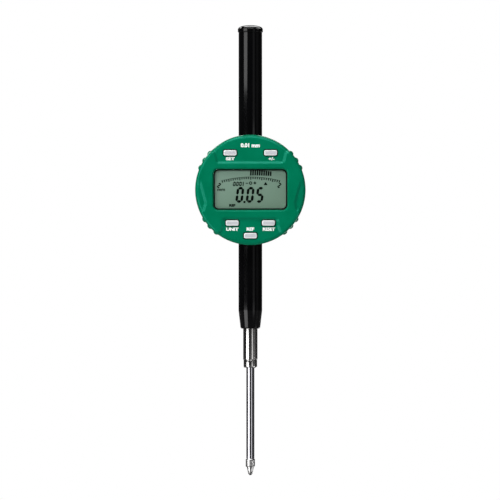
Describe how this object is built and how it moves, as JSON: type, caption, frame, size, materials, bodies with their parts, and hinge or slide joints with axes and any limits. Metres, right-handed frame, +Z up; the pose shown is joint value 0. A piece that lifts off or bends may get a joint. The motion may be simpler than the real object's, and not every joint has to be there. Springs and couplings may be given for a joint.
{
  "type": "digital indicator",
  "caption": "Long-travel digital indicator: round turning display on a slim tube, plain stem for a stand, sliding steel spindle with a ball-ended contact point, and a lug on the back.",
  "frame": {"origin": "on the spindle axis, in the middle of the 8 mm stem that a stand clamps", "axes": "+Z up along the spindle, display facing -Y, lug towards +Y"},
  "size_m": [0.0616, 0.0404, 0.252],
  "materials": {
    "black_metal": "satin black coating on turned and cast aluminium",
    "black_plastic": "fine grained black plastic",
    "bright_steel": "ground and polished stainless steel",
    "hard_ball": "polished hard ball",
    "screw_steel": "plain steel fasteners",
    "spring_steel": "drawn spring wire",
    "inner_plastic": "dark low-friction plastic",
    "soft_rubber": "black rubber",
    "circuit_board": "green laminate with solder mask",
    "chip_resin": "black moulded resin",
    "switch_plastic": "black dome switch body",
    "cable_film": "amber flexible cable",
    "scale_glass": "coated scale strip",
    "battery_steel": "nickel plated cell can",
    "contact_brass": "plated spring contact",
    "green_plastic": "semi-gloss green moulded plastic",
    "clear_window": "clear pane",
    "screen_glass": "grey-green liquid crystal panel",
    "key_plastic": "light grey keys"
  },
  "bodies": {
    "frame": {"frame_housing": "black_metal", "rear_cover": "black_plastic", "rear_cover_screws": "screw_steel", "upper_tube": "black_metal", "tube_cap": "black_metal", "lower_sleeve": "black_metal", "stem": "bright_steel", "lower_bush": "bright_steel", "stop_bumper": "soft_rubber", "guide_rail": "inner_plastic", "reader_board": "circuit_board", "reader_chip": "chip_resin", "reader_board_screws": "screw_steel", "return_spring": "spring_steel", "battery_tray": "inner_plastic", "battery": "battery_steel", "battery_contact": "contact_brass", "friction_ring": "inner_plastic", "pivot_clip": "screw_steel", "turn_stop_pin": "screw_steel"},
    "spindle": {"spindle_rod": "bright_steel", "contact_point": "bright_steel", "contact_ball": "hard_ball", "scale_strip": "scale_glass", "stop_collar": "bright_steel", "guide_peg": "bright_steel", "guide_ring": "inner_plastic"},
    "display": {"front_cover": "green_plastic", "window_lens": "clear_window", "window_seal": "soft_rubber", "display_panel": "screen_glass", "zebra_strip_upper": "soft_rubber", "zebra_strip_lower": "soft_rubber", "display_board": "circuit_board", "display_chip": "chip_resin", "ribbon_coil": "cable_film", "display_board_screws": "screw_steel", "display_back": "inner_plastic", "display_back_screws": "screw_steel", "switch_upper_left": "switch_plastic", "switch_upper_right": "switch_plastic", "switch_lower_left": "switch_plastic", "switch_lower_right": "switch_plastic", "switch_bottom": "switch_plastic"},
    "key_upper_left": {"button_upper_left": "key_plastic"},
    "key_upper_right": {"button_upper_right": "key_plastic"},
    "key_lower_left": {"button_lower_left": "key_plastic"},
    "key_lower_right": {"button_lower_right": "key_plastic"},
    "key_bottom": {"button_bottom": "key_plastic"},
    "battery_door": {"battery_cover": "black_plastic", "battery_cover_seal": "soft_rubber"}
  },
  "joints": [
    {"name": "spindle_slide", "type": "slide", "parent": "frame", "child": "spindle", "axis": [0, 0, 1], "range_m": [0, 0.0508], "stiffness_N_per_m": 15, "springref_m": -0.06, "deforming": ["return_spring"]},
    {"name": "display_turn", "type": "hinge", "parent": "frame", "child": "display", "pos_m": [0, -0.0078, 0.08625], "axis": [0, 1, 0], "range_deg": [-160, 160]},
    {"name": "press_upper_left", "type": "slide", "parent": "display", "child": "key_upper_left", "axis": [0, 1, 0], "range_m": [0, 0.0005], "stiffness_N_per_m": 1500, "springref_m": -0.0002},
    {"name": "press_upper_right", "type": "slide", "parent": "display", "child": "key_upper_right", "axis": [0, 1, 0], "range_m": [0, 0.0005], "stiffness_N_per_m": 1500, "springref_m": -0.0002},
    {"name": "press_lower_left", "type": "slide", "parent": "display", "child": "key_lower_left", "axis": [0, 1, 0], "range_m": [0, 0.0005], "stiffness_N_per_m": 1500, "springref_m": -0.0002},
    {"name": "press_lower_right", "type": "slide", "parent": "display", "child": "key_lower_right", "axis": [0, 1, 0], "range_m": [0, 0.0005], "stiffness_N_per_m": 1500, "springref_m": -0.0002},
    {"name": "press_bottom", "type": "slide", "parent": "display", "child": "key_bottom", "axis": [0, 1, 0], "range_m": [0, 0.0005], "stiffness_N_per_m": 1500, "springref_m": -0.0002},
    {"name": "battery_door_turn", "type": "hinge", "parent": "frame", "child": "battery_door", "pos_m": [-0.0145, 0.0085, 0.07965], "axis": [0, 1, 0], "range_deg": [0, 30]}
  ]
}
